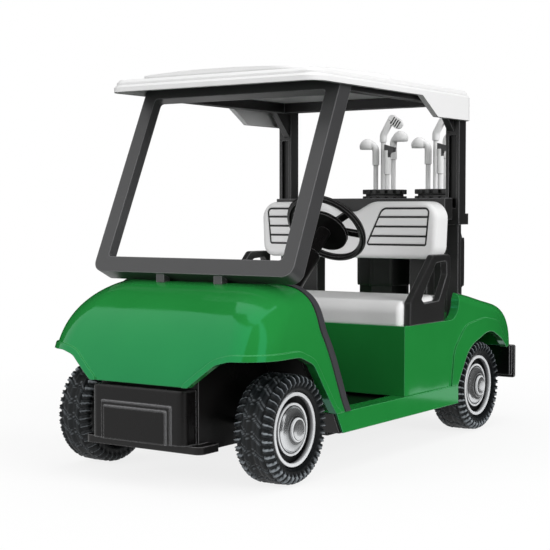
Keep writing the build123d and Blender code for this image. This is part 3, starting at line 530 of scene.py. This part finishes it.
# Seat: hard ABS moulded in white to look padded. The lines on the back are sunk and filled
# with black paint, which stays below the face and inside the outline of each panel. Faint
# highlights are painted on the edges.
paint_depth = (0.12, 0.60)
paint_side = (5.0, 22.55)
paint_height = (44.2, 53.6)
panel_slope = 0.494
panel_start = -16.9
panel_corner = 75.35
seat_front = corners("seat_back")[1][0]
paint_limits = ((seat_front - paint_depth[1], seat_front - paint_depth[0]), paint_side, paint_height)
seat_abs = moulded("seat_abs", "#ECECEC", "#F2F2F2", "#F4F4F4",
                   rough=(0.34, 0.44), grain=0.3, relief=0.008, edge=0.5)
tree = seat_abs.node_tree
ahead, aside, up = mirrored_place(tree)
slant = add(tree, "Math", {0: up, 1: -panel_slope, 2: aside}, operation="MULTIPLY_ADD")
inside = add(tree, "Math", {0: slant.outputs[0], 1: panel_start * MM}, operation="GREATER_THAN")
corner_sum = add(tree, "Math", {0: aside, 1: up}, operation="ADD")
cornered = add(tree, "Math", {0: corner_sum.outputs[0], 1: panel_corner * MM}, operation="LESS_THAN")
lines = both(tree, window(tree, (ahead, aside, up), paint_limits), inside.outputs[0],
             cornered.outputs[0])
paint(seat_abs, lines, "#2A2A2A")
dress(seat_abs, "seat_cushion", "seat_back")

# Golf bags: ABS bodies standing in the well, black with a leathery skin. Each wears an eight-sided
# cover with piping on its edges, and two notched rings of soft PVC stretched over its collar. Grey
# highlights are painted on the edges of the bodies.
bag_abs = moulded("bag_abs", "#1C1C1C", "#262626", "#6A6A6A",
                  rough=(0.32, 0.45), grain=0.9, relief=0.03, edge=0.35)
dress(bag_abs, "golf_bag_left", "golf_bag_right")
cover_levels = (33.4, 45.8)
cover_faces = (-0.285, 0.435)
cover_power = 0.3
cover_section_steps = 40
facet_count = 8
steps_per_facet = 24
piping_rise = 0.22
piping_start = 0.08
piping_end = 0.03


def round_bag(middle, turns, radius, level):
    """Points of a shape carried round a bag's upright middle line."""
    return np.stack([middle[0] + radius * np.cos(turns), middle[1] + radius * np.sin(turns),
                     level + 0 * turns], axis=-1)


def bag_cover(middle, reach):
    """Closed cover on a grid of turn and section angle, which runs backwards so that faces point
    outwards. The section is a tall thin rounded rectangle. Its radius follows an octagon, the reach
    over the cosine of the angle from a facet's middle, and piping swells on the eight edges."""
    half_facet = np.pi / facet_count
    turns = np.linspace(0, 2 * np.pi, facet_count * steps_per_facet, endpoint=False)[:, None]
    angle = np.linspace(-np.pi, np.pi, cover_section_steps, endpoint=False)[None, ::-1]
    wide = boxy(np.cos(angle), cover_power)
    tall = boxy(np.sin(angle), cover_power)
    across = turns % (2 * half_facet) - half_facet
    octagon = reach * np.cos(half_facet) / np.cos(across)
    piping = piping_rise * rise(np.abs(across), half_facet - piping_start, half_facet - piping_end)
    radius = octagon + np.mean(cover_faces) + np.ptp(cover_faces) / 2 * wide + piping * (wide > 0)
    level = np.mean(cover_levels) + np.ptp(cover_levels) / 2 * tall
    return round_bag(middle, turns, radius, level)


ring_height = 1.2
ring_drop = 1.7
ring_radius = 5.1
ring_half_band = 0.2
ring_power = 0.4
ring_section_steps = 24
notch_count = 16
steps_per_notch = 12
notch_rise = 0.42
notch_lower = 0.14
notch_flank = (0.16, 0.24)


def notched_ring(middle, top):
    """Closed ring on a grid of turn and section angle, which runs backwards as the cover's does: a
    small rounded rectangle whose outer side is pushed out wherever the turn lies in a tooth, and
    which is a little lower in the notches. The teeth come with the points."""
    turns = np.linspace(0, 2 * np.pi, notch_count * steps_per_notch, endpoint=False)[:, None]
    angle = np.linspace(-np.pi, np.pi, ring_section_steps, endpoint=False)[None, ::-1]
    tooth = rise(np.abs((turns * notch_count / (2 * np.pi)) % 1 - 0.5), *notch_flank)
    wide = boxy(np.cos(angle), ring_power)
    high = boxy(np.sin(angle), ring_power)
    radius = ring_radius + ring_half_band * wide + notch_rise * tooth * (wide > 0)
    level = top - ring_height / 2 + ring_height / 2 * high * (1 - notch_lower + notch_lower * tooth)
    return round_bag(middle, turns, radius, level), tooth + 0 * angle


# Soft PVC of the rings: black in the notches, with a painted highlight that makes the teeth greyer, and
# grey highlights painted on the edges
ring_pvc = moulded("ring_pvc", "#060606", "#0A0A0A", "#4A4A4A",
                   rough=(0.35, 0.45), grain=0.3, relief=0.02, edge=0.2)
tooth_highlight = add(ring_pvc.node_tree, "Attribute", attribute_name="tooth")
paint(ring_pvc, tooth_highlight.outputs["Fac"], "#3C3C3C")

for side in ("left", "right"):
    low, high = corners(f"golf_bag_{side}")
    middle = middle_of(f"golf_bag_{side}")
    mesh = ring_mesh(f"bag_cover_{side}", bag_cover(middle, (high[0] - low[0]) / 2))
    mesh.materials.append(bag_abs)
    put(f"bag_cover_{side}", mesh, "body", "bag_plastic")
    for number in (0, 1):
        points, teeth = notched_ring(middle, high[2] - number * ring_drop)
        mesh = ring_mesh(f"bag_ring_{side}_{number}", points)
        mark(mesh, "tooth", teeth)
        mesh.materials.append(ring_pvc)
        put(f"bag_ring_{side}_{number}", mesh, "body", "bag_plastic")

# Clubs: pale ABS mouldings pushed into the bags. Black paint fills the grooves on the iron's face,
# drawn wider than real so that they show, and the putter's head is dipped dark. Shade is painted
# into the gaps and inner corners, and faint highlights on the edges.
blade_turn = np.radians(35)
blade_aside = (-0.53, 2.81)
blade_level = 75.6
blade_limits = ((0.4, 0.8), (-0.9, 1.9), (-1.0, 1.0))
groove_pitch = 0.70
groove_share = 0.50
groove_shift = 10.25
head_ahead = (0.9, 2.3)
head_aside = (0.9, 4.2)
head_levels = (66.4, 70.0)
crevice_reach = 0.9
crevice_span = (0.45, 0.85)
crevice_share = 0.8


def shade_crevices(material, code):
    """Darken narrow gaps and inner corners, where what stands within the reach keeps light out."""
    nook = add(material.node_tree, "AmbientOcclusion", {"Distance": crevice_reach * MM}, samples=8)
    depth = add(material.node_tree, "MapRange",
                {"Value": nook.outputs["AO"], "From Min": crevice_span[0], "From Max": crevice_span[1],
                 "To Min": crevice_share, "To Max": 0.0})
    paint(material, depth.outputs["Result"], code)


def club_finish(side):
    """Pale plastic with stripes on the iron and a dark putter's head. The place is turned into the
    blade's own axes, and the stripes repeat along its Y by the groove's pitch."""
    middle = middle_of(f"golf_bag_{side}")
    material = moulded(f"club_abs_{side}", "#EDEDED", "#F4F4F4", "#FAFAFA",
                       rough=(0.22, 0.32), grain=0.3, relief=0.006, edge=0.2)
    tree = material.node_tree
    place = add(tree, "TexCoord").outputs["Object"]
    blade = Vector((middle[0] + blade_aside[0], middle[1] + blade_aside[1], blade_level)) * MM
    near = add(tree, "VectorMath", {0: place, 1: blade}, operation="SUBTRACT")
    turned = add(tree, "VectorRotate", {"Vector": near.outputs[0], "Angle": blade_turn},
                 rotation_type="X_AXIS")
    axes = add(tree, "SeparateXYZ", {"Vector": turned.outputs[0]}).outputs
    rows = add(tree, "Math", {0: axes["Y"], 1: 1 / (groove_pitch * MM), 2: groove_shift},
               operation="MULTIPLY_ADD")
    row = add(tree, "Math", {0: rows.outputs[0]}, operation="FRACT")
    stripe = add(tree, "Math", {0: row.outputs[0], 1: groove_share}, operation="LESS_THAN")
    paint(material, both(tree, stripe.outputs[0], window(tree, axes, blade_limits)), "#151515")
    spot = add(tree, "SeparateXYZ", {"Vector": place}).outputs
    head_limits = (middle[0] + np.array(head_ahead), middle[1] + np.array(head_aside), head_levels)
    paint(material, window(tree, spot, head_limits), "#4A4A4B")
    shade_crevices(material, "#3A3A3B")
    return material


for side in ("left", "right"):
    dress(club_finish(side), f"clubs_{side}")

# Roof: one white ABS moulding, glossy on top, clipped over the canopy frame. Little light reaches
# its sharp inner corners, where shade is painted as grey lines. Faint highlights are painted on
# its edges.
roof_abs = moulded("roof_abs", "#EFEFEF", "#F1F1F1", "#FAFAFA",
                   rough=(0.30, 0.33), grain=0.3, relief=0.004, edge=0.2)
shade_crevices(roof_abs, "#8C8C8C")
dress(roof_abs, "roof")

# Studio floor: a sheet of white paper, far wider than the view. It glows plain white to the camera
# and in reflections, and keeps part of the cart's shadow near the cart.
floor_half = 3000.0
shadow_span = (70.0, 170.0)
glow_share = (0.82, 1.0)


def seen_by(tree, *rays):
    """1 for the kinds of ray that are named, 0 for others."""
    path = add(tree, "LightPath").outputs
    seen = path[f"Is {rays[0]} Ray"]
    for ray in rays[1:]:
        seen = add(tree, "Math", {0: seen, 1: path[f"Is {ray} Ray"]}, operation="MAXIMUM").outputs[0]
    return seen


paper = bpy.data.materials.new("studio_paper")
paper.use_nodes = True
tree = paper.node_tree
tree.nodes.clear()
glow = add(tree, "Emission", {"Color": (1, 1, 1, 1), "Strength": seen_by(tree, "Camera", "Glossy")})
sheet = add(tree, "BsdfDiffuse", {"Color": linear("#F4F4F4")})
away = add(tree, "VectorMath", {0: add(tree, "TexCoord").outputs["Object"]}, operation="LENGTH")
fade = add(tree, "MapRange", {"Value": away.outputs["Value"], "From Min": shadow_span[0] * MM,
                              "From Max": shadow_span[1] * MM, "To Min": glow_share[0],
                              "To Max": glow_share[1]})
lift = add(tree, "MixShader", {0: fade.outputs[0], 1: sheet.outputs[0], 2: glow.outputs[0]})
add(tree, "OutputMaterial", {"Surface": lift.outputs[0]})
edge = floor_half * MM
mesh = bpy.data.meshes.new("studio_floor")
mesh.from_pydata([(-edge, -edge, 0), (edge, -edge, 0), (edge, edge, 0), (-edge, edge, 0)], [],
                 [(0, 1, 2, 3)])
mesh.materials.append(paper)
floor = bpy.data.objects.new("studio_floor", mesh)
bpy.context.scene.collection.objects.link(floor)

# Curtains: black cloth hung in a circle round the cart, one straight cloth on its left, and a
# black card on the floor. They show in reflections only, with white openings between them.
curtain_radius = 170.0
curtain_steps = 40
foot = 0.5
side_cloth = ((55, 72), (-150, 72))
card_ahead = (-75, 5)
card_aside = (34, 72)
cloth, shader = new_finish("curtain_cloth")
shader.inputs["Base Color"].default_value = linear("#161616")
shader.inputs["Specular IOR Level"].default_value = 0.0


def arc(start, end):
    """Places on the floor along the curtain's circle, between two bearings in degrees."""
    bearing = np.radians(np.linspace(start, end, curtain_steps))
    return curtain_radius * np.stack([np.cos(bearing), np.sin(bearing)], axis=-1)


def strip(near, far, near_levels, far_levels):
    """Grid of two rows of points: each row is a line on the floor, lifted to levels that run evenly
    from its first to its last."""
    rows = [np.column_stack([line, np.linspace(*levels, curtain_steps)])
            for line, levels in ((near, near_levels), (far, far_levels))]
    return np.stack(rows, axis=1)


curtains = (
    # line on the floor, foot levels at its ends, head level
    (arc(20, 50), (foot, foot), 600),
    (arc(100, 292), (foot, foot), 330),
    (arc(292, 380), (245, 520), 700),
    (np.linspace(*side_cloth, curtain_steps), (foot, foot), 330),
)
card_edges = [np.linspace((card_ahead[0], side), (card_ahead[1], side), curtain_steps)
              for side in card_aside]
strips = [strip(line, line, feet, (head, head)) for line, feet, head in curtains]
strips.append(strip(*card_edges, (foot, foot), (foot, foot)))
index = np.arange(2 * curtain_steps).reshape(curtain_steps, 2)
quads = np.stack([index[:-1, 0], index[:-1, 1], index[1:, 1], index[1:, 0]], axis=-1)
for number, points in enumerate(strips):
    mesh = bpy.data.meshes.new(f"curtain_{number}")
    mesh.from_pydata(points.reshape(-1, 3) * MM, [], quads)
    mesh.materials.append(cloth)
    curtain = bpy.data.objects.new(f"curtain_{number}", mesh)
    bpy.context.scene.collection.objects.link(curtain)
    curtain.visible_camera = False
    curtain.visible_diffuse = False
    curtain.visible_shadow = False
    curtain.visible_transmission = False

# Air and lamps: even white air, dimmer as a light than it looks behind the cart, and three soft
# lamps, in front, on the left and above. The lamps show in no reflection.
air_light = 0.62
world = bpy.data.worlds.new("studio_air")
bpy.context.scene.world = world
world.use_nodes = True
tree = world.node_tree
tree.nodes.clear()
seen = seen_by(tree, "Camera", "Glossy", "Transmission")
level = add(tree, "MapRange", {"Value": seen, "To Min": air_light, "To Max": 1.0})
air = add(tree, "Background", {"Color": (1, 1, 1, 1), "Strength": level.outputs["Result"]})
add(tree, "OutputWorld", {"Surface": air.outputs[0]})

lamps = (
    # name, place, width, watts
    ("lamp_front", (700, -300, 240), 420, 2.45),
    ("lamp_left", (60, 760, 220), 500, 5.0),
    ("lamp_top", (-60, 60, 760), 500, 1.2),
)
lamp_aim = Vector((0, 0, 40)) * MM
for name, spot, width, watts in lamps:
    lamp = bpy.data.lights.new(name, "AREA")
    lamp.size = width * MM
    lamp.energy = watts
    holder = bpy.data.objects.new(name, lamp)
    holder.location = Vector(spot) * MM
    holder.rotation_euler = (lamp_aim - holder.location).to_track_quat("-Z", "Y").to_euler()
    holder.visible_glossy = False
    bpy.context.scene.collection.objects.link(holder)

# Camera: at the photograph's place, low off the cart's front left corner, with a long lens aimed
# at the middle of the cart
camera_spot = Vector((256.85, 166.11, 52.6)) * MM
camera_aim = Vector((0.0, -7.92, 37.85)) * MM
view = bpy.data.cameras.new("photo_view")
view.lens = 88.28
view.sensor_width = 36.0
view.clip_start = 0.01
camera = bpy.data.objects.new("photo_view", view)
camera.location = camera_spot
camera.rotation_euler = (camera_aim - camera_spot).to_track_quat("-Z", "Y").to_euler()
bpy.context.scene.collection.objects.link(camera)
bpy.context.scene.camera = camera
bpy.context.scene.view_settings.view_transform = "Standard"
